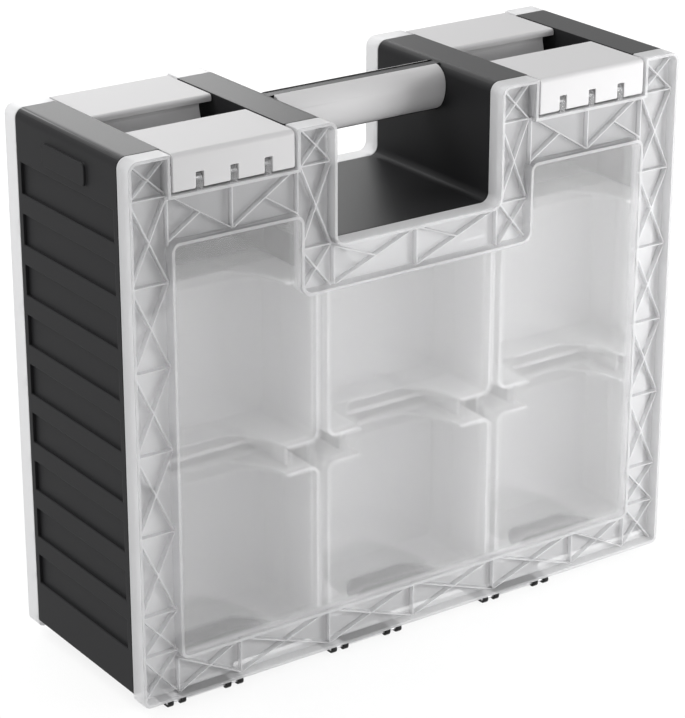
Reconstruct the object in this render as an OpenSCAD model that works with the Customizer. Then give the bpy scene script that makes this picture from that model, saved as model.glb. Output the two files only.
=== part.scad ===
// Two-sided carry case for miniatures and small pieces. A framed body with a handle carries
// six lift-out bins on each face behind a ribbed, see-through lid. Each lid swings down on three
// hinges under the case and is held by two latches that reach over the top.
// Millimetres, X to the right, Y to the back, Z up. The origin is on the ground, under the centre.

/* [Case] */
// Width across the side walls
case_w = 375; // [350:1:400]
// Depth of the body between the two lids
body_d = 109; // [100:1:120]
// Height of the body, from its underside to the pillar tops
case_h = 314.3; // [305:0.1:330]
// Thickness of the body's walls
wall = 4; // [3.5:0.1:5]
// Thickness of the partition between the two faces
partition_t = 3; // [2:0.1:4]
// Radius of the body's lower corners
body_low_r = 2; // [1:0.5:3]
// Radius of the lids' lower corners
lid_low_r = 4; // [3:0.5:6]
// Radius of the pillars' top corners
corner_top_r = 6; // [5:0.5:9]
// Height of the lip that stands out inside each lid's skirt
lip_h = 3.5; // [2.5:0.1:3.5]

/* [Handle] */
// Width of the hand opening
handle_w = 113; // [105:1:122]
// Depth of the notch from the pillar tops to its floor
notch_depth = 70.3; // [65:0.1:76]
// Radius of the notch's lower corners
notch_r = 5.5; // [4:0.5:9]
// Width of the two pillars beside the handle
inner_pillar_w = 27; // [24:0.5:30]
// Width of the two pillars at the case's sides
outer_pillar_w = 26.5; // [24:0.5:30]
// Thickness of the core bar between the grips
bar_t = 8; // [6:0.5:10]
// How far the core bar's top lies below the pillar tops
bar_drop = 0.9; // [0.4:0.1:1.5]
// Height of the grip
grip_h = 27.8; // [24:0.1:32]
// Width of the grip from front to back
grip_d = 26.4; // [22:0.1:32]

/* [Side walls] */
// Number of sunk slats on each side wall
slat_count = 9; // [5:1:10]
// Height of one slat
slat_h = 18; // [14:0.5:20]
// Depth of the slats
slat_sink = 2; // [1:0.1:2.5]
// Distance from a slat's end to the lid joint
slat_end = 4.5; // [3:0.1:12]
// Distance from the top slat to the pillar top
slat_top_gap = 29.8; // [26:0.1:34]
// Distance from the lowest slat to the underside
slat_low_gap = 27.5; // [20:0.1:34]
// Width of the label pad
pad_w = 46; // [30:1:60]
// Height of the label pad
pad_h = 13; // [10:0.5:15]
// Corner radius of the label pad
pad_r = 3; // [1:0.5:4]
// How far the label pad stands out
pad_t = 1.75; // [1:0.05:2.5]
// Distance from the label pad to the pillar top
pad_top_gap = 11.3; // [10:0.1:13]

/* [Bins] */
// Gap between the case's outside and the outer bins
bin_side_gap = 7; // [6:0.1:9]
// Gap between bins side by side
column_gap = 5.7; // [4:0.1:8]
// Gap between the two rows of bins
row_gap = 15; // [12:0.5:18]
// Height of the bottom row above the underside
bin_base = 11; // [9:0.5:14]
// Free height between the middle bins and the notch
bin_headroom = 14; // [8:0.5:18]
// Wall thickness of a bin
bin_wall = 1.8; // [1.2:0.1:2.5]
// Corner radius of a bin
bin_r = 6; // [4:0.5:9]
// Width of the finger notch at the rim
finger_top_w = 72; // [50:1:80]
// Width of the finger notch at its bottom
finger_low_w = 36; // [25:1:44]
// Depth of the finger notch
finger_depth = 34; // [25:1:40]

/* [Lids] */
// Thickness of a lid
lid_t = 12; // [11.5:0.1:14]
// Thickness of the lid's skirt and window wall
lid_wall = 2; // [1.6:0.1:2.1]
// How far the lid reaches below the body
lid_drop = 4; // [3:0.1:5]
// Thickness of the lid's web
web_t = 1; // [0.8:0.1:1.6]
// Height of the ribs above the web
rib_h = 3.6; // [2:0.1:4]
// Thickness of the ribs
rib_t = 0.9; // [0.7:0.1:1.6]
// Thickness of the window pane
pane_t = 1.8; // [1.5:0.1:3]
// How far the window pane lies behind the rim round it
pane_sink = 0.5; // [0.1:0.1:1]
// Width of the ribbed band beside the window
side_band = 25; // [22:0.5:28]
// Height of the ribbed band under the window
low_band = 19.5; // [16:0.5:24]
// Height of the ribbed band between the notch and the window
notch_band = 24.5; // [20:0.5:30]
// Width of the ribbed band beside the notch
pillar_band = 21.8; // [18:0.1:24]
// Height of the ribbed band under the latches
latch_band = 26.3; // [22:0.1:30]
// Corner radius of the window
window_r = 5.5; // [3:0.5:8]

/* [Latches] */
// Distance from the pillar tops down to the lid's sill under a latch
sill_drop = 22.5; // [20.5:0.1:25]
// Distance from the pillar tops to the floor of the latch pocket
pocket_depth = 44.3; // [40:0.1:46]
// Thickness of a latch's shell
latch_t = 2; // [1.6:0.1:2.4]
// Distance from the case's middle to a latch's inner edge
latch_reach = 16.7; // [14:0.1:20]
// Height of the leg that hangs into the pocket
leg_h = 22; // [16:0.5:22]
// Thickness of a latch's inner edge
edge_t = 4; // [3:0.1:5]
// Distance from a latch's ends to its leg
leg_trim = 7.5; // [4:0.5:12]
// Radius of a latch pin
latch_pin_r = 1.5; // [1:0.1:1.7]
// Radius of the lid lugs that hold the latch pin
lug_r = 3.2; // [2.9:0.1:3.3]
// Width of a lid lug
lug_w = 4.2; // [3:0.1:6]
// Distance between lid lugs
lug_pitch = 21.5; // [18:0.5:24]

/* [Hinges] */
// Distance from the case's side to the first hinge
hinge_inset = 42.1; // [36:0.1:50]
// Distance between hinges
hinge_pitch = 111.5; // [100:0.5:118]
// Length of a hinge
hinge_l = 50; // [44:1:60]
// Radius of a hinge knuckle
knuckle_r = 2.6; // [2.4:0.05:3]
// Width of a knuckle
knuckle_w = 3.4; // [3:0.1:6]
// Gap between two neighbouring knuckles
knuckle_gap = 4.8; // [1:0.1:6]
// Radius of a hinge pin
hinge_pin_r = 1; // [0.8:0.05:1.3]
// Thickness of the hinge's plates
leaf_t = 1; // [0.8:0.1:1.3]

/* [Fits] */
// Gap beside a part that swings or lifts out
clearance = 0.35; // [0.3:0.05:0.5]
// Radial clearance of a turning pin
pin_fit = 0.05; // [0.02:0.01:0.1]

/* [Hidden] */
$fn = 48;
eps = 0.01;
// The two faces, the two sides and the two rows
front = 1;
rear = -1;
left = -1;
right = 1;
low = 0;
high = 1;
// Steps in a quarter-round corner
corner_steps = 10;
// How far a cut reaches past what it cuts
over = 1;
// Smallest corner that is drawn rounded
least_r = 0.5;

half_w = case_w / 2;
half_d = body_d / 2;
notch_x = handle_w / 2;
notch_floor = case_h - notch_depth;
recess_in = notch_x + inner_pillar_w;
recess_out = half_w - outer_pillar_w;
sill_z = case_h - sill_drop;
pocket_floor = case_h - pocket_depth;

// Lid, measured forward from the body's front face
lid_front_y = -half_d - lid_t;
lid_low_z = -lid_drop;
lip_inset = lid_wall + clearance;
web_y = -half_d - lip_h - clearance;
recess_clear = 1;
window_x = half_w - side_band;
window_low = low_band;
window_top = sill_z - latch_band;
window_notch_x = notch_x + pillar_band;
window_notch_z = notch_floor - notch_band;

// Hinge axis: below and inside the lid, clear of its lower edge
hinge_reach = 7;
hinge_y = -half_d - hinge_reach;
hinge_z = lid_low_z - knuckle_r - clearance;
ground_gap = knuckle_r - hinge_z;
leaf_front_gap = 1.5;
leaf_back_gap = 1;
bracket_depth = 30;
bracket_inset = 1;
arm_drop = 0.25;
foot_t = 3;

// Latch axis: above the lid's sill
latch_sink = 0.7;
latch_top_gap = 0.3;
latch_low_gap = 1.3;
latch_side_gap = 0.5;
latch_axis_rise = 6.2;
latch_face_y = lid_front_y + latch_sink;
latch_top_z = case_h - latch_top_gap;
latch_axis_y = latch_face_y + latch_t + lug_r / 2;
latch_axis_z = sill_z + latch_axis_rise;
latch_in = recess_in + latch_side_gap;
latch_out = recess_out - latch_side_gap;
latch_mid = (latch_in + latch_out) / 2;
latch_half_w = (latch_out - latch_in) / 2;
latch_low_z = sill_z + latch_low_gap;
latch_under_z = latch_top_z - latch_t;
latch_tip_z = latch_under_z - leg_h;
leg_lean = 3;
leg_inset = 1.2;
slot_gap = 0.3;
lug_gap = 0.8;
// Catch rail in the pocket, just under the leg's tip
catch_t = 3;
catch_gap = 1;
catch_y = latch_reach + latch_t - leg_lean + clearance;
catch_z = latch_tip_z - catch_gap;

// Bins
bin_w = (case_w - 2 * bin_side_gap - 2 * column_gap) / 3;
bin_h = (notch_floor - wall - bin_headroom - bin_base - row_gap) / 2;
bin_rim_y = -half_d - lip_h;
bin_back_y = -partition_t / 2 - clearance;
shelf_t = 3;
shelf_depth = 20;
rail_t = 2;
rail_inset = 16;
rail_front_gap = 6;
divider_front_gap = 12;

// Lid ribs
cell_count = 5;
sill_rib_z = sill_z - rib_t / 2;
low_cell_z = 50;
low_posts = [60, 121];

charcoal = [0.13, 0.13, 0.135];
light_grey = [0.82, 0.82, 0.83];
frosted = [0.85, 0.87, 0.88, 0.5];
steel = [0.6, 0.6, 0.62];

// ---- Helpers ----

// Lifts the case off the ground onto its hinges
module lift() {
    translate([0, 0, ground_gap]) children();
}

// Draws what is written for the front face on either face
module on_face(face) {
    lift() rotate([0, 0, face == front ? 0 : 180]) children();
}

// Extrudes an X-Z outline from y0 to y1
module upright(y0, y1) {
    translate([0, y1, 0]) rotate([90, 0, 0]) linear_extrude(y1 - y0) children();
}

// Extrudes a Y-Z outline from x0 to x1
module lengthwise(x0, x1) {
    translate([x0, 0, 0]) rotate([90, 0, 90]) linear_extrude(x1 - x0) children();
}

// A box given by its two opposite corners
module block(low_corner, high_corner) {
    translate(low_corner) cube(high_corner - low_corner);
}

// A round bar along X
module bar_x(x0, x1, y, z, r) {
    translate([x0, y, z]) rotate([0, 90, 0]) cylinder(h = x1 - x0, r = r);
}

// Points of an arc from angle a0 to angle a1
function arc(cx, cz, r, a0, a1) =
    [for (i = [0 : corner_steps])
        let (a = a0 + (a1 - a0) * i / corner_steps)
        [cx + r * cos(a), cz + r * sin(a)]];

// A corner at (x, z) whose inside lies towards (sx, sz), drawn inset and rounded where it can be
function corner(x, z, sx, sz, r, inset, a0) =
    r - inset > least_r
        ? arc(x + sx * r, z + sz * r, r - inset, a0, a0 + 90)
        : [[x + sx * inset, z + sz * inset]];

// Points mirrored left to right, in the order that continues the outline
function mirrored(points) =
    [for (i = [len(points) - 1 : -1 : 0]) [-points[i][0], points[i][1]]];

// Right half of the silhouette of the body or a lid, drawn inset from its edge
function case_half(low_z, low_r, inset, side_clear) =
    concat(
        corner(half_w, low_z, -1, 1, low_r, inset, -90),
        corner(half_w, case_h, -1, -1, corner_top_r, inset, 0),
        [
            [recess_out + side_clear + inset, case_h - inset],
            [recess_out + side_clear + inset, sill_z - inset],
            [recess_in - side_clear - inset, sill_z - inset],
            [recess_in - side_clear - inset, case_h - inset]
        ],
        corner(notch_x, case_h, 1, -1, corner_top_r, inset, 90),
        arc(notch_x - notch_r, notch_floor + notch_r, notch_r + inset, 0, -90)
    );

module body_outline(inset, side_clear = 0) {
    half = case_half(0, body_low_r, inset, side_clear);
    polygon(concat(half, mirrored(half)));
}

module lid_outline(inset) {
    half = case_half(lid_low_z, lid_low_r, inset, recess_clear);
    polygon(concat(half, mirrored(half)));
}

// Right half of the window, drawn inset from its edge
function window_half(inset) =
    concat(
        arc(window_x - window_r, window_low + window_r, window_r - inset, -90, 0),
        arc(window_x - window_r, window_top - window_r, window_r - inset, 0, 90),
        arc(window_notch_x + window_r, window_top - window_r, window_r - inset, 90, 180),
        arc(window_notch_x - window_r, window_notch_z + window_r, window_r + inset, 0, -90)
    );

module window(inset) {
    half = window_half(inset);
    polygon(concat(half, mirrored(half)));
}

module rounded_box_2d(x0, x1, z0, z1, r) {
    polygon(concat(
        arc(x1 - r, z0 + r, r, -90, 0),
        arc(x1 - r, z1 - r, r, 0, 90),
        arc(x0 + r, z1 - r, r, 90, 180),
        arc(x0 + r, z0 + r, r, 180, 270)
    ));
}

// ---- Body ----

module body() {
    color(charcoal) difference() {
        union() {
            lift() difference() {
                upright(-half_d, half_d) body_outline(0);
                for (face = [front, rear])
                    rotate([0, 0, face == front ? 0 : 180])
                        upright(-half_d - eps, -partition_t / 2) body_outline(wall);
            }
            for (face = [front, rear]) on_face(face) {
                body_lip();
                bin_carriers();
            }
            for (side = [left, right]) lift() {
                pocket_tub(side);
                label_pad(side);
            }
            lift() handle_bar();
        }
        for (side = [left, right]) lift() {
            pocket_hollow(side);
            slats(side);
        }
    }
}

// Lip that the lid's skirt closes over
module body_lip() {
    upright(-half_d - lip_h, -half_d + wall) difference() {
        body_outline(lip_inset, recess_clear);
        body_outline(wall, recess_clear);
    }
}

// Shelf, rails and dividers that the bins stand on and between
module bin_carriers() {
    shelf_z = bin_base + bin_h + row_gap / 2;
    inner_x = half_w - wall;
    block([-inner_x - eps, -partition_t / 2 - shelf_depth, shelf_z - shelf_t / 2],
          [inner_x + eps, 0, shelf_z + shelf_t / 2]);
    for (column = [-1 : 1], edge = [-1, 1]) {
        rail_x = column * (bin_w + column_gap) + edge * (bin_w / 2 - rail_inset);
        block([rail_x - rail_t / 2, -half_d + rail_front_gap, wall - eps],
              [rail_x + rail_t / 2, 0, bin_base]);
        block([rail_x - rail_t / 2, -half_d + rail_front_gap, bin_base + bin_h + clearance],
              [rail_x + rail_t / 2, 0, bin_base + bin_h + row_gap]);
    }
    for (side = [left, right]) {
        divider_x = side * (bin_w + column_gap) / 2;
        block([divider_x - rail_t / 2, -half_d + divider_front_gap, wall - eps],
              [divider_x + rail_t / 2, 0, notch_floor - wall + eps]);
    }
}

// Block that the pocket for the latches' legs is cut from
module pocket_tub(side) {
    low_x = recess_in - wall;
    high_x = recess_out + wall;
    block([min(side * low_x, side * high_x), -half_d, pocket_floor - wall],
          [max(side * low_x, side * high_x), half_d, sill_z]);
}

// Inside of the pocket, with a catch rail left standing for each latch
module pocket_hollow(side) {
    difference() {
        block([min(side * recess_in, side * recess_out), -half_d + wall, pocket_floor],
              [max(side * recess_in, side * recess_out), half_d - wall, case_h + eps]);
        for (face = [front, rear])
            rotate([0, 0, face == front ? 0 : 180])
                block([-half_w, -catch_y - catch_t, pocket_floor - eps],
                      [half_w, -catch_y, catch_z]);
    }
}

// Raised pad for a name card on the side wall
module label_pad(side) {
    pad_z = case_h - pad_top_gap - pad_h;
    root_x = side * (half_w - wall / 2);
    outer_x = side * (half_w + pad_t);
    lengthwise(min(root_x, outer_x), max(root_x, outer_x))
        rounded_box_2d(-pad_w / 2, pad_w / 2, pad_z, pad_z + pad_h, pad_r);
}

// Sunk slats down the side wall
module slats(side) {
    pitch = (case_h - slat_top_gap - slat_low_gap - slat_h) / (slat_count - 1);
    for (i = [0 : slat_count - 1])
        translate([side * half_w, 0, slat_low_gap + i * pitch + slat_h / 2])
            cube([2 * slat_sink, body_d - 2 * slat_end, slat_h], center = true);
}

// Core of the handle, between the two grips
module handle_bar() {
    block([-notch_x - wall, -bar_t / 2, case_h - grip_h],
          [notch_x + wall, bar_t / 2, case_h - bar_drop]);
}

// ---- Grips ----

// The grip is widest above its middle: an egg-shaped outline with flattened flanks
grip_widest = 11.3;
grip_power = 2.2;
function grip_profile() =
    let (widest_z = case_h - grip_widest, steps = 72)
    [for (i = [0 : steps - 1])
        let (a = 360 * i / steps,
             reach = sin(a) > 0 ? grip_widest : grip_h - grip_widest)
        [sign(cos(a)) * grip_d / 2 * pow(abs(cos(a)), 2 / grip_power),
         widest_z + sign(sin(a)) * reach * pow(abs(sin(a)), 2 / grip_power)]];

module grip(face) {
    color(light_grey) on_face(face) difference() {
        lengthwise(-notch_x, notch_x) polygon(grip_profile());
        block([-half_w, -bar_t / 2, 0], [half_w, half_d, case_h + over]);
    }
}

// ---- Bins ----

// Half the width of the finger notch at a share of its depth, 0 at the rim
function finger_half(share) =
    let (ease = share * share * (3 - 2 * share))
    finger_top_w / 2 + (finger_low_w - finger_top_w) / 2 * ease;

module finger_notch() {
    steps = 16;
    side_points = [for (i = [0 : steps])
        let (share = i / steps, ease = 1 - pow(1 - share, 2))
        [finger_half(share), bin_rim_y + finger_depth * ease]];
    linear_extrude(bin_h + 2 * over) polygon(concat(
        [[finger_top_w / 2, bin_rim_y - over]],
        side_points,
        [for (i = [steps : -1 : 0]) [-side_points[i][0], side_points[i][1]]],
        [[-finger_top_w / 2, bin_rim_y - over]]
    ));
}

module bin(face, row, column) {
    base_z = bin_base + row * (bin_h + row_gap);
    half = bin_w / 2;
    color(frosted) on_face(face)
        translate([face * column * (bin_w + column_gap), 0, base_z])
            difference() {
                upright(bin_rim_y, bin_back_y) rounded_box_2d(-half, half, 0, bin_h, bin_r);
                upright(bin_rim_y - over, bin_back_y - bin_wall)
                    rounded_box_2d(-half + bin_wall, half - bin_wall, bin_wall, bin_h - bin_wall,
                                   bin_r - bin_wall);
                translate([0, 0, -over]) finger_notch();
            }
}

// ---- Lids ----

// A straight rib between two points of the X-Z plane
module rib(p, q) {
    run = q - p;
    translate(p) rotate(atan2(run[1], run[0])) translate([0, -rib_t / 2])
        square([norm(run), rib_t]);
}

// Crossed ribs in a cell
module cross(x0, x1, z0, z1) {
    rib([x0, z0], [x1, z1]);
    rib([x0, z1], [x1, z0]);
}

// A long diagonal from one upper corner and a short strut from the other
module brace(x_high, x_low, z0, z1) {
    rib([x_high, z1], [x_low, z0]);
    rib([x_low, z1], [(x_low + x_high) / 2, (z0 + z1) / 2]);
}

module ribs_beside_window() {
    edge_x = half_w - lid_wall;
    pitch = (sill_rib_z - low_cell_z) / cell_count;
    rib([window_x, low_cell_z / 2], [edge_x, low_cell_z / 2]);
    cross(window_x, edge_x, low_cell_z / 2, low_cell_z);
    cross(window_x, edge_x, lid_low_z + lid_wall, low_cell_z / 2);
    for (i = [0 : cell_count - 1]) {
        cell_z = low_cell_z + i * pitch;
        rib([window_x, cell_z], [edge_x, cell_z]);
        cross(window_x, edge_x, cell_z, cell_z + pitch);
    }
    rib([window_x, sill_rib_z], [edge_x, sill_rib_z]);
    cross(window_x, edge_x, sill_rib_z, case_h - lid_wall);
}

module ribs_beside_notch() {
    edge_x = notch_x + lid_wall;
    rib([edge_x, sill_rib_z], [window_notch_x + lid_wall, sill_rib_z]);
    rib([edge_x, notch_floor], [window_notch_x, notch_floor]);
    cross(edge_x, window_notch_x, sill_rib_z, case_h - lid_wall);
    cross(edge_x, window_notch_x, notch_floor, sill_rib_z);
    cross(edge_x, window_notch_x, window_notch_z, notch_floor);
}

module ribs_under_latch() {
    rib([window_x, window_top - lid_wall], [window_x, sill_z]);
    rib([window_notch_x + lid_wall, window_top - lid_wall], [window_notch_x + lid_wall, sill_z]);
    rib([latch_mid, window_top], [latch_mid, sill_z]);
    for (end_x = [window_x, window_notch_x + lid_wall]) {
        rib([end_x, sill_z], [latch_mid, window_top]);
        rib([end_x, window_top], [(end_x + latch_mid) / 2, (sill_z + window_top) / 2]);
    }
}

module ribs_under_notch() {
    top_z = notch_floor - lid_wall;
    for (side = [left, right]) rib([side * notch_x, window_notch_z], [side * notch_x, top_z]);
    rib([0, window_notch_z], [0, top_z]);
    brace(0, -notch_x, window_notch_z, top_z);
    brace(notch_x, 0, window_notch_z, top_z);
}

module ribs_under_window() {
    base_z = lid_low_z + lid_wall;
    posts = concat([-window_x], -low_posts[1], -low_posts[0], [0, low_posts[0], low_posts[1]],
                   [window_x]);
    for (i = [0 : len(posts) - 1]) {
        rib([posts[i], base_z], [posts[i], window_low]);
        if (i > 0) cross(posts[i - 1], posts[i], base_z, window_low);
    }
}

module all_ribs() {
    for (side = [left, right]) scale([side, 1]) {
        ribs_beside_window();
        ribs_beside_notch();
        ribs_under_latch();
    }
    ribs_under_notch();
    ribs_under_window();
}

// Ears on the lid's sill that hold the latch pin
module lid_lugs() {
    for (side = [left, right], i = [-1 : 1]) {
        lug_x = side * latch_mid + i * lug_pitch;
        bar_x(lug_x - lug_w / 2, lug_x + lug_w / 2, latch_axis_y, latch_axis_z, lug_r);
        block([lug_x - lug_w / 2, latch_axis_y - lug_r, sill_z - lid_wall],
              [lug_x + lug_w / 2, latch_axis_y + lug_r, latch_axis_z]);
    }
}

module lid(face) {
    color(frosted) on_face(face) difference() {
        union() {
            upright(lid_front_y, -half_d) difference() {
                lid_outline(0);
                lid_outline(lid_wall);
            }
            upright(web_y - web_t, web_y) difference() {
                lid_outline(lid_wall / 2);
                window(lid_wall / 2);
            }
            upright(lid_front_y, web_y) difference() {
                window(0);
                window(lid_wall);
            }
            upright(lid_front_y + pane_sink, lid_front_y + pane_sink + pane_t)
                window(lid_wall / 2);
            upright(web_y - web_t - rib_h, web_y - web_t / 2) intersection() {
                all_ribs();
                difference() {
                    lid_outline(lid_wall / 2);
                    window(lid_wall / 2);
                }
            }
            lid_lugs();
        }
        for (side = [left, right])
            bar_x(side * latch_mid - latch_half_w, side * latch_mid + latch_half_w,
                  latch_axis_y, latch_axis_z, latch_pin_r);
    }
}

// ---- Latches ----

// Section of a latch's shell: front plate, top plate, rounded inner edge and leg
module latch_section() {
    front_r = 3;
    edge_r = 2;
    chamfer = 1;
    leg_y = -latch_reach - latch_t + leg_lean;
    leg_top_z = latch_under_z - edge_t;
    inner_y = latch_face_y + latch_t;
    polygon(concat(
        [
            [inner_y, latch_low_z],
            [inner_y, latch_under_z - chamfer],
            [inner_y + chamfer, latch_under_z],
            [-latch_reach - leg_inset - latch_t, latch_under_z],
            [-latch_reach - leg_inset - latch_t, leg_top_z],
            [leg_y, latch_tip_z + chamfer],
            [leg_y + chamfer, latch_tip_z],
            [leg_y + latch_t, latch_tip_z + chamfer],
            [-latch_reach - leg_inset, leg_top_z],
            [-latch_reach - leg_inset, latch_top_z - edge_t],
            [-latch_reach, latch_top_z - edge_t]
        ],
        arc(-latch_reach - edge_r, latch_top_z - edge_r, edge_r, 0, 90),
        arc(latch_face_y + front_r, latch_top_z - front_r, front_r, 90, 180),
        [[latch_face_y, latch_low_z + chamfer], [latch_face_y + chamfer / 2, latch_low_z]]
    ));
}

module latch(face, side) {
    local = face * side;
    x0 = min(local * latch_in, local * latch_out);
    x1 = max(local * latch_in, local * latch_out);
    slot_w = lug_w + 2 * slot_gap;
    color(light_grey) on_face(face) difference() {
        union() {
            lengthwise(x0, x1) latch_section();
            bar_x(x0, x1, latch_axis_y, latch_axis_z, lug_r);
        }
        bar_x(x0 - over, x1 + over, latch_axis_y, latch_axis_z, latch_pin_r + pin_fit);
        for (i = [-1 : 1]) {
            slot_x = local * latch_mid + i * lug_pitch;
            block([slot_x - slot_w / 2, latch_face_y - over, latch_low_z - over],
                  [slot_x + slot_w / 2, latch_axis_y + lug_r + over, latch_axis_z + lug_r + lug_gap]);
        }
        for (cut = [[x0 - over, x0 + leg_trim], [x1 - leg_trim, x1 + over]])
            block([cut[0], -latch_reach - leg_inset - latch_t - over, 0],
                  [cut[1], 0, latch_top_z - edge_t]);
    }
}

module latch_pin(face, side) {
    local = face * side;
    end_gap = 0.6;
    x0 = min(local * latch_in, local * latch_out) + end_gap;
    x1 = max(local * latch_in, local * latch_out) - end_gap;
    color(steel) on_face(face) bar_x(x0, x1, latch_axis_y, latch_axis_z, latch_pin_r);
}

// ---- Hinges ----

function hinge_x(i) = -half_w + hinge_inset + (i - 1) * hinge_pitch;

// Plate under the lid's lower edge with its two knuckles
module hinge_leaf(face, i) {
    inner = hinge_l / 2 - knuckle_w - knuckle_gap;
    color(charcoal) on_face(face) translate([hinge_x(i), 0, 0]) difference() {
        union() {
            block([-inner, lid_front_y + leaf_front_gap, lid_low_z - leaf_t],
                  [inner, -half_d - leaf_back_gap, lid_low_z]);
            for (end = [-1, 1]) {
                x0 = end < 0 ? -inner : inner - knuckle_w;
                bar_x(x0, x0 + knuckle_w, hinge_y, hinge_z, knuckle_r);
                block([x0, hinge_y - knuckle_r, hinge_z],
                      [x0 + knuckle_w, hinge_y + knuckle_r, lid_low_z]);
            }
        }
        bar_x(-hinge_l, hinge_l, hinge_y, hinge_z, hinge_pin_r + pin_fit);
    }
}

// Foot under the body with the two arms that carry the pin
module hinge_bracket(face, i) {
    riser_y = -half_d + bracket_inset;
    color(charcoal) on_face(face) translate([hinge_x(i), 0, 0]) difference() {
        union() {
            block([-hinge_l / 2, riser_y, -foot_t], [hinge_l / 2, riser_y + bracket_depth, 0]);
            for (end = [-1, 1]) {
                x0 = end < 0 ? -hinge_l / 2 : hinge_l / 2 - knuckle_w;
                bar_x(x0, x0 + knuckle_w, hinge_y, hinge_z, knuckle_r);
                block([x0, hinge_y, -ground_gap],
                      [x0 + knuckle_w, riser_y + bracket_depth / 2, hinge_z + knuckle_r - arm_drop]);
                block([x0, riser_y, -ground_gap],
                      [x0 + knuckle_w, riser_y + bracket_depth / 2, 0]);
            }
        }
        bar_x(-hinge_l, hinge_l, hinge_y, hinge_z, hinge_pin_r);
    }
}

module hinge_pin(face, i) {
    color(steel) on_face(face)
        bar_x(hinge_x(i) - hinge_l / 2, hinge_x(i) + hinge_l / 2, hinge_y, hinge_z, hinge_pin_r);
}

body();
grip(front);  // grip_front
grip(rear);  // grip_rear
bin(front, low, -1);  // bin_front_low_left
bin(front, low, 0);  // bin_front_low_middle
bin(front, low, 1);  // bin_front_low_right
bin(front, high, -1);  // bin_front_high_left
bin(front, high, 0);  // bin_front_high_middle
bin(front, high, 1);  // bin_front_high_right
bin(rear, low, -1);  // bin_rear_low_left
bin(rear, low, 0);  // bin_rear_low_middle
bin(rear, low, 1);  // bin_rear_low_right
bin(rear, high, -1);  // bin_rear_high_left
bin(rear, high, 0);  // bin_rear_high_middle
bin(rear, high, 1);  // bin_rear_high_right
lid(front);  // lid_front
lid(rear);  // lid_rear
latch(front, left);  // latch_front_left
latch(front, right);  // latch_front_right
latch(rear, left);  // latch_rear_left
latch(rear, right);  // latch_rear_right
latch_pin(front, left);  // latch_pin_front_left
latch_pin(front, right);  // latch_pin_front_right
latch_pin(rear, left);  // latch_pin_rear_left
latch_pin(rear, right);  // latch_pin_rear_right
hinge_leaf(front, 1);  // hinge_leaf_front_1
hinge_leaf(front, 2);  // hinge_leaf_front_2
hinge_leaf(front, 3);  // hinge_leaf_front_3
hinge_leaf(rear, 1);  // hinge_leaf_rear_1
hinge_leaf(rear, 2);  // hinge_leaf_rear_2
hinge_leaf(rear, 3);  // hinge_leaf_rear_3
hinge_bracket(front, 1);  // hinge_bracket_front_1
hinge_bracket(front, 2);  // hinge_bracket_front_2
hinge_bracket(front, 3);  // hinge_bracket_front_3
hinge_bracket(rear, 1);  // hinge_bracket_rear_1
hinge_bracket(rear, 2);  // hinge_bracket_rear_2
hinge_bracket(rear, 3);  // hinge_bracket_rear_3
hinge_pin(front, 1);  // hinge_pin_front_1
hinge_pin(front, 2);  // hinge_pin_front_2
hinge_pin(front, 3);  // hinge_pin_front_3
hinge_pin(rear, 1);  // hinge_pin_rear_1
hinge_pin(rear, 2);  // hinge_pin_rear_2
hinge_pin(rear, 3);  // hinge_pin_rear_3
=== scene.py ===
"""Looks of the miniature carry case: see-through lids and bins, dark body, pale grips and latches."""

import math

import bpy
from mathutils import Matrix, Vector

# Camera
CAMERA_AZIMUTH = -34.95
CAMERA_ELEVATION = 21.98
CAMERA_DISTANCE = 1.571
CAMERA_TARGET = (-0.0104, -0.0048, 0.15495)
CAMERA_LENS = 134.07
SENSOR_WIDTH = 36.0

# Colours, as linear values
CHARCOAL = (0.0165, 0.0165, 0.0175)
BLACK = (0.007, 0.007, 0.0075)
PALE_GREY = (0.66, 0.655, 0.66)
LID_WHITE = (0.84, 0.84, 0.85)
BIN_WHITE = (0.93, 0.93, 0.935)
PANE_WHITE = (0.96, 0.96, 0.965)
STEEL = (0.55, 0.55, 0.56)

# Softened edges: radii and the reach that joins split faces in metres, and the least angle
BODY_EDGE = 0.0007
LID_EDGE = 0.0004
LATCH_EDGE = 0.0005
BIN_EDGE = 0.0004
HINGE_EDGE = 0.0003
JOIN_REACH = 0.000002
LEAST_EDGE_ANGLE = math.radians(40.0)

# Least share of a normal that counts as facing along an axis
FACING = 0.7

# Face groups of the lids and bins: depths from the case's middle plane, in metres
RIM_DEPTH = 0.0663
PANE_DEPTH = 0.0638
CREST_DEPTH = 0.0615
BIN_RIM_DEPTH = 0.0575

# Face groups of the lids: reach of a side face along Y, in metres
SKIRT_REACH = 0.0110
WALL_REACH = 0.0050

# Band under the latches where the web is made more see-through so that it reads darker: painted shade
# under the latches, in metres
LATCH_BAND_LOW = 0.2565
LATCH_BAND_IN = 0.0660
LATCH_BAND_OUT = 0.1700

# Room of the rails and shelf between the bins, and where their pale look ends, in metres
CARRIER_HALF_WIDTH = 0.183
CARRIER_LOW = 0.0142
CARRIER_HIGH = 0.249
CARRIER_NEAR = 0.0016
CARRIER_FAR = 0.0505
CARRIER_DARK_LOW = 0.218
CARRIER_DARK_HIGH = 0.226

# Moulded plastics: scales of the colour clouds and of the grain, look of the rails
BODY_CLOUD = 18.0
BODY_GRAIN = 1600.0
RAIL_ROUGHNESS = 0.5
RAIL_GLOSS = 0.2

# See-through plastics: the same scales, spread of colour, refraction, gloss and reach of light
CLEAR_CLOUD = 9.0
CLEAR_GRAIN = 900.0
CLEAR_SPREAD = 0.02
CLEAR_IOR = 1.3
CLEAR_GLOSS = 0.3
GLOW_REACH = 0.02

# World: strength that lights the case, and strength that is seen
SKY_LIGHT = 0.38
SKY_SEEN = 1.0

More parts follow.
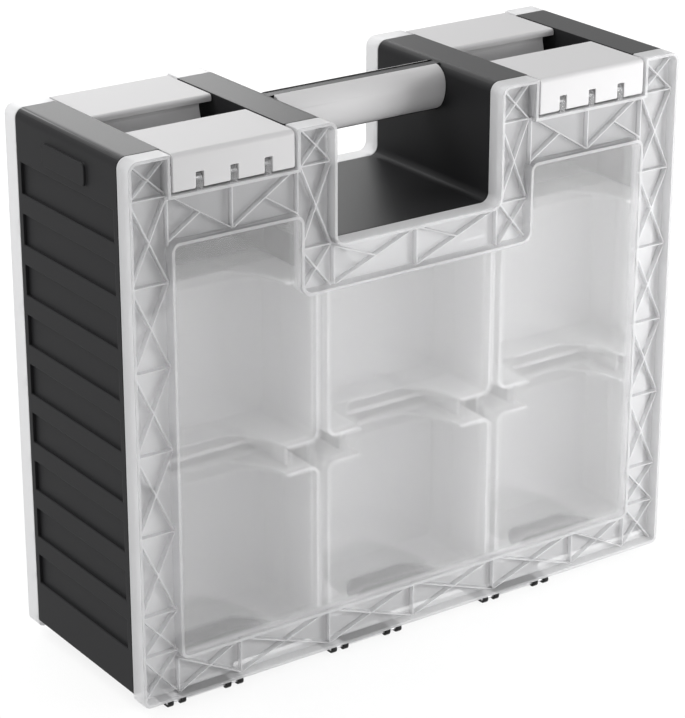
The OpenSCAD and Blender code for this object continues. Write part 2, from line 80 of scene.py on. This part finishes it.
# Floor: size, drop and fade to plain white in metres, share of it that is seen, colour and glow
FLOOR_SIZE = 6.0
FLOOR_DROP = 0.0002
FLOOR_FADE_START = 0.5
FLOOR_FADE_END = 1.3
FLOOR_COVER = 0.25
FLOOR_GREY = 0.8
FLOOR_ROUGHNESS = 0.9
FLOOR_GLOW = 0.40


def new_material(name):
    """A material with its Principled shader, its node tree and its object coordinates."""
    material = bpy.data.materials.new(name)
    material.use_nodes = True
    tree = material.node_tree
    shader = tree.nodes["Principled BSDF"]
    coordinates = tree.nodes.new("ShaderNodeTexCoord")
    return material, tree, shader, coordinates


def noise(tree, coordinates, scale, detail=2.0):
    """Noise over the object's own coordinates."""
    node = tree.nodes.new("ShaderNodeTexNoise")
    node.inputs["Scale"].default_value = scale
    node.inputs["Detail"].default_value = detail
    node.inputs["Roughness"].default_value = 0.5
    tree.links.new(coordinates.outputs["Object"], node.inputs["Vector"])
    return node


def ramp_between(tree, source, low, high):
    """Maps a 0 to 1 value onto low to high."""
    node = tree.nodes.new("ShaderNodeMapRange")
    node.inputs["To Min"].default_value = low
    node.inputs["To Max"].default_value = high
    tree.links.new(source, node.inputs["Value"])
    return node.outputs["Result"]


def colour_between(tree, source, low, high):
    """Mixes two colours by a 0 to 1 value."""
    node = tree.nodes.new("ShaderNodeMix")
    node.data_type = "RGBA"
    node.inputs["A"].default_value = (*low, 1.0)
    node.inputs["B"].default_value = (*high, 1.0)
    tree.links.new(source, node.inputs["Factor"])
    return node.outputs["Result"]


def bump(tree, shader, source, distance):
    """A fine relief on the shader's normal."""
    node = tree.nodes.new("ShaderNodeBump")
    node.inputs["Strength"].default_value = 1.0
    node.inputs["Distance"].default_value = distance
    tree.links.new(source, node.inputs["Height"])
    tree.links.new(node.outputs["Normal"], shader.inputs["Normal"])


def moulded_plastic(name, colour, spread, gloss, rough_low, rough_high, grain_depth):
    """Opaque moulded plastic with a fine spark-eroded grain."""
    material, tree, shader, coordinates = new_material(name)
    cloud = noise(tree, coordinates, BODY_CLOUD)
    grain = noise(tree, coordinates, BODY_GRAIN, detail=3.0)
    darker = [c * (1.0 - spread) for c in colour]
    lighter = [c * (1.0 + spread) for c in colour]
    tree.links.new(colour_between(tree, cloud.outputs["Fac"], darker, lighter),
                   shader.inputs["Base Color"])
    tree.links.new(ramp_between(tree, grain.outputs["Fac"], rough_low, rough_high),
                   shader.inputs["Roughness"])
    shader.inputs["Specular IOR Level"].default_value = gloss
    bump(tree, shader, grain.outputs["Fac"], grain_depth)
    return material


def frosted_plastic(name, colour, alpha, blur, glow, rough_low, rough_high, grain_depth=0.00001):
    """See-through plastic: part of the light goes straight on, part is blurred, part scatters."""
    material, tree, shader, coordinates = new_material(name)
    cloud = noise(tree, coordinates, CLEAR_CLOUD)
    grain = noise(tree, coordinates, CLEAR_GRAIN, detail=3.0)
    paler = [min(1.0, c * (1.0 + CLEAR_SPREAD)) for c in colour]
    duller = [c * (1.0 - CLEAR_SPREAD) for c in colour]
    tree.links.new(colour_between(tree, cloud.outputs["Fac"], duller, paler),
                   shader.inputs["Base Color"])
    tree.links.new(ramp_between(tree, grain.outputs["Fac"], rough_low, rough_high),
                   shader.inputs["Roughness"])
    shader.inputs["Alpha"].default_value = alpha
    shader.inputs["Transmission Weight"].default_value = blur
    shader.inputs["Subsurface Weight"].default_value = glow
    shader.inputs["Subsurface Radius"].default_value = (1.0, 1.0, 1.0)
    shader.inputs["Subsurface Scale"].default_value = GLOW_REACH
    shader.inputs["IOR"].default_value = CLEAR_IOR
    shader.inputs["Specular IOR Level"].default_value = CLEAR_GLOSS
    if grain_depth > 0.0:
        bump(tree, shader, grain.outputs["Fac"], grain_depth)
    return material


def railed_plastic(name, low_colour, high_colour, low_z, high_z):
    """Opaque plastic that goes from one colour to another between two heights."""
    material, tree, shader, coordinates = new_material(name)
    split = tree.nodes.new("ShaderNodeSeparateXYZ")
    tree.links.new(coordinates.outputs["Object"], split.inputs["Vector"])
    height = tree.nodes.new("ShaderNodeMapRange")
    height.inputs["From Min"].default_value = low_z
    height.inputs["From Max"].default_value = high_z
    tree.links.new(split.outputs["Z"], height.inputs["Value"])
    tree.links.new(colour_between(tree, height.outputs["Result"], low_colour, high_colour),
                   shader.inputs["Base Color"])
    shader.inputs["Roughness"].default_value = RAIL_ROUGHNESS
    shader.inputs["Specular IOR Level"].default_value = RAIL_GLOSS
    return material


def brushed_steel(name):
    """Plain drawn wire."""
    material, tree, shader, coordinates = new_material(name)
    streaks = noise(tree, coordinates, 400.0, detail=4.0)
    tree.links.new(ramp_between(tree, streaks.outputs["Fac"], 0.25, 0.45),
                   shader.inputs["Roughness"])
    shader.inputs["Base Color"].default_value = (*STEEL, 1.0)
    shader.inputs["Metallic"].default_value = 1.0
    return material


def dress(obj, *materials):
    """Gives a CAD node its materials, the first one all over."""
    obj.data.materials.clear()
    for material in materials:
        obj.data.materials.append(material)


def paint_faces(obj, slot_of):
    """Picks the material slot of each face by its centre, its normal and its reach along Y."""
    mesh = obj.data
    for polygon in mesh.polygons:
        depths = [abs(mesh.vertices[i].co.y) for i in polygon.vertices]
        polygon.material_index = slot_of(polygon.center, polygon.normal, max(depths) - min(depths))


def lid_slot(centre, normal, reach):
    """0 ribbed web, 1 window pane, 2 edges and rib crests, 3 outer wall, 4 web under the latches,
    made more see-through as painted shade.
    """
    depth = abs(centre.y)
    if abs(normal.y) > FACING:
        if depth > RIM_DEPTH:
            return 2
        if depth > PANE_DEPTH:
            return 1
        if depth > CREST_DEPTH:
            return 2
    elif reach > SKIRT_REACH:
        return 3
    elif reach > WALL_REACH:
        return 2
    # Painted shade: web faces under the latches get the more see-through copy, so the dark body
    # behind darkens them
    if centre.z > LATCH_BAND_LOW and LATCH_BAND_IN < abs(centre.x) < LATCH_BAND_OUT:
        return 4
    return 0


def bin_slot(centre, normal, reach):
    """0 walls, 1 rim."""
    return 1 if abs(centre.y) > BIN_RIM_DEPTH and abs(normal.y) > FACING else 0


def body_slot(centre, normal, reach):
    """0 grained walls, 1 smoother upper faces, 2 rails and shelf between the bins."""
    if (abs(centre.x) < CARRIER_HALF_WIDTH and CARRIER_LOW < centre.z < CARRIER_HIGH
            and CARRIER_NEAR < abs(centre.y) < CARRIER_FAR):
        return 2
    return 1 if normal.z > FACING else 0


def soften_edges(obj, width):
    """Joins the faces at their shared edges and rounds the sharp ones, with modifiers only."""
    weld = obj.modifiers.new("joined faces", "WELD")
    weld.merge_threshold = JOIN_REACH
    bevel = obj.modifiers.new("soft edges", "BEVEL")
    bevel.width = width
    bevel.segments = 2
    bevel.limit_method = "ANGLE"
    bevel.angle_limit = LEAST_EDGE_ANGLE
    bevel.harden_normals = True
    bevel.use_clamp_overlap = False


def dress_case(nodes):
    """Materials of every CAD node, and softened edges of all but the pins."""
    dark = moulded_plastic("dark plastic", CHARCOAL, 0.06, 0.12, 0.50, 0.62, 0.00003)
    satin = moulded_plastic("dark satin plastic", CHARCOAL, 0.06, 0.15, 0.36, 0.44, 0.00001)
    black = moulded_plastic("black plastic", BLACK, 0.06, 0.20, 0.40, 0.52, 0.00003)
    pale = moulded_plastic("pale plastic", PALE_GREY, 0.015, 0.15, 0.50, 0.58, 0.00002)
    web = frosted_plastic("lid web", LID_WHITE, 0.44, 0.0, 0.0, 0.30, 0.42)
    pane = frosted_plastic("lid pane", PANE_WHITE, 0.60, 0.75, 0.0, 0.19, 0.21, 0.0)
    # Painted shade: a more see-through copy of the web for the cells under the latches, so they read
    # darker as if in the latches' shade
    latch_shade_web = frosted_plastic("lid web with painted latch shade", LID_WHITE, 0.33, 0.0, 0.0, 0.30, 0.42)
    edge = frosted_plastic("lid edge", LID_WHITE, 0.44, 0.0, 0.0, 0.25, 0.35)
    skirt = frosted_plastic("lid skirt", LID_WHITE, 0.72, 0.0, 0.0, 0.30, 0.42)
    bin_wall = frosted_plastic("bin wall", BIN_WHITE, 0.86, 0.0, 0.4, 0.35, 0.50)
    bin_rim = frosted_plastic("bin rim", BIN_WHITE, 1.0, 0.0, 0.0, 0.30, 0.40)
    carrier = railed_plastic("rails", PALE_GREY, CHARCOAL, CARRIER_DARK_LOW, CARRIER_DARK_HIGH)
    steel = brushed_steel("pin steel")
    for name, obj in nodes.items():
        if name.startswith("lid"):
            dress(obj, web, pane, edge, skirt, latch_shade_web)
            paint_faces(obj, lid_slot)
            soften_edges(obj, LID_EDGE)
        elif name.startswith("bin"):
            dress(obj, bin_wall, bin_rim)
            paint_faces(obj, bin_slot)
            soften_edges(obj, BIN_EDGE)
        elif name.startswith(("latch_pin", "hinge_pin")):
            dress(obj, steel)
        elif name.startswith(("latch", "grip")):
            dress(obj, pale)
            soften_edges(obj, LATCH_EDGE)
        elif name.startswith("hinge"):
            dress(obj, black)
            soften_edges(obj, HINGE_EDGE)
        else:
            dress(obj, dark, satin, carrier)
            paint_faces(obj, body_slot)
            soften_edges(obj, BODY_EDGE)


def light_paths(tree):
    """1 for rays that see the background itself: from the camera, in gloss and through plastic."""
    path = tree.nodes.new("ShaderNodeLightPath")
    seen = path.outputs["Is Camera Ray"]
    for other in ("Is Glossy Ray", "Is Transmission Ray"):
        either = tree.nodes.new("ShaderNodeMath")
        either.operation = "MAXIMUM"
        tree.links.new(seen, either.inputs[0])
        tree.links.new(path.outputs[other], either.inputs[1])
        seen = either.outputs[0]
    return seen


def make_world(level, seen):
    """An even sky that lights at one level and is seen at another."""
    world = bpy.data.worlds.new("studio")
    bpy.context.scene.world = world
    world.use_nodes = True
    tree = world.node_tree
    background = tree.nodes["Background"]
    background.inputs["Color"].default_value = (1.0, 1.0, 1.0, 1.0)
    strength = ramp_between(tree, light_paths(tree), level, seen)
    tree.links.new(strength, background.inputs["Strength"])


def make_floor():
    """A white floor that keeps a faint shadow of the case and turns plain white further off.

    Rays that see the background look partly through it, so a lid that hangs below it still shows.
    """
    bpy.ops.mesh.primitive_plane_add(size=FLOOR_SIZE, location=(0.0, 0.0, -FLOOR_DROP))
    floor = bpy.context.object
    floor.name = "floor"
    material, tree, shader, coordinates = new_material("floor")
    shader.inputs["Base Color"].default_value = (FLOOR_GREY, FLOOR_GREY, FLOOR_GREY, 1.0)
    shader.inputs["Roughness"].default_value = FLOOR_ROUGHNESS
    shader.inputs["Specular IOR Level"].default_value = 0.0
    shader.inputs["Emission Color"].default_value = (1.0, 1.0, 1.0, 1.0)
    distance = tree.nodes.new("ShaderNodeVectorMath")
    distance.operation = "LENGTH"
    tree.links.new(coordinates.outputs["Object"], distance.inputs[0])
    fade = tree.nodes.new("ShaderNodeMapRange")
    fade.inputs["From Min"].default_value = FLOOR_FADE_START
    fade.inputs["From Max"].default_value = FLOOR_FADE_END
    fade.inputs["To Min"].default_value = FLOOR_GLOW
    fade.inputs["To Max"].default_value = 1.0
    tree.links.new(distance.outputs["Value"], fade.inputs["Value"])
    seen = light_paths(tree)
    strength = tree.nodes.new("ShaderNodeMath")
    strength.operation = "MULTIPLY"
    tree.links.new(seen, strength.inputs[0])
    tree.links.new(fade.outputs["Result"], strength.inputs[1])
    tree.links.new(strength.outputs[0], shader.inputs["Emission Strength"])
    tree.links.new(ramp_between(tree, seen, 1.0, FLOOR_COVER), shader.inputs["Alpha"])
    floor.data.materials.append(material)


def make_softbox(name, place, aim, size, power):
    """A rectangular area lamp that points at a place."""
    lamp = bpy.data.lights.new(name, "AREA")
    lamp.shape = "RECTANGLE"
    lamp.size, lamp.size_y = size
    lamp.energy = power
    obj = bpy.data.objects.new(name, lamp)
    bpy.context.scene.collection.objects.link(obj)
    obj.location = place
    direction = Vector(aim) - Vector(place)
    obj.rotation_euler = direction.to_track_quat("-Z", "Y").to_euler()
    obj.visible_camera = False


def make_lights():
    """Soft light from above, near from the front right, from the left and low from behind."""
    make_softbox("top", (-0.7, 0.7, 1.7), (0.0, 0.0, 0.2), (1.2, 1.2), 14.5)
    make_softbox("front right", (0.50, -0.60, 0.28), (0.08, 0.0, 0.13), (0.4, 0.4), 4.8)
    make_softbox("left", (-2.0, 0.0, 0.9), (0.0, 0.0, 0.15), (1.4, 1.4), 8.0)
    make_softbox("back", (0.37, 1.43, 0.80), (0.0, 0.0, 0.25), (1.0, 0.6), 7.6)


def make_camera():
    """The photograph's view."""
    azimuth = math.radians(CAMERA_AZIMUTH)
    elevation = math.radians(CAMERA_ELEVATION)
    target = Vector(CAMERA_TARGET)
    level = CAMERA_DISTANCE * math.cos(elevation)
    place = target + Vector((level * math.sin(azimuth), -level * math.cos(azimuth),
                             CAMERA_DISTANCE * math.sin(elevation)))
    camera = bpy.data.cameras.new("camera")
    camera.sensor_fit = "AUTO"
    camera.sensor_width = SENSOR_WIDTH
    camera.lens = CAMERA_LENS
    obj = bpy.data.objects.new("camera", camera)
    bpy.context.scene.collection.objects.link(obj)
    obj.location = place
    obj.rotation_euler = (target - place).to_track_quat("-Z", "Y").to_euler()
    bpy.context.scene.camera = obj


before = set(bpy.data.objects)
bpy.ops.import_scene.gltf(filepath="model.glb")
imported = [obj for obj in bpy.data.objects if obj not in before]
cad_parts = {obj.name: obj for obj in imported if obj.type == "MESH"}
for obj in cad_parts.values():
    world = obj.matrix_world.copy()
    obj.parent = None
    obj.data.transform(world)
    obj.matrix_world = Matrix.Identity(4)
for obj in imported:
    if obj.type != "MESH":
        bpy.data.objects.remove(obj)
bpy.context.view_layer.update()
dress_case(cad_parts)
make_world(SKY_LIGHT, SKY_SEEN)
make_floor()
make_lights()
make_camera()
bpy.context.scene.view_settings.view_transform = "Standard"
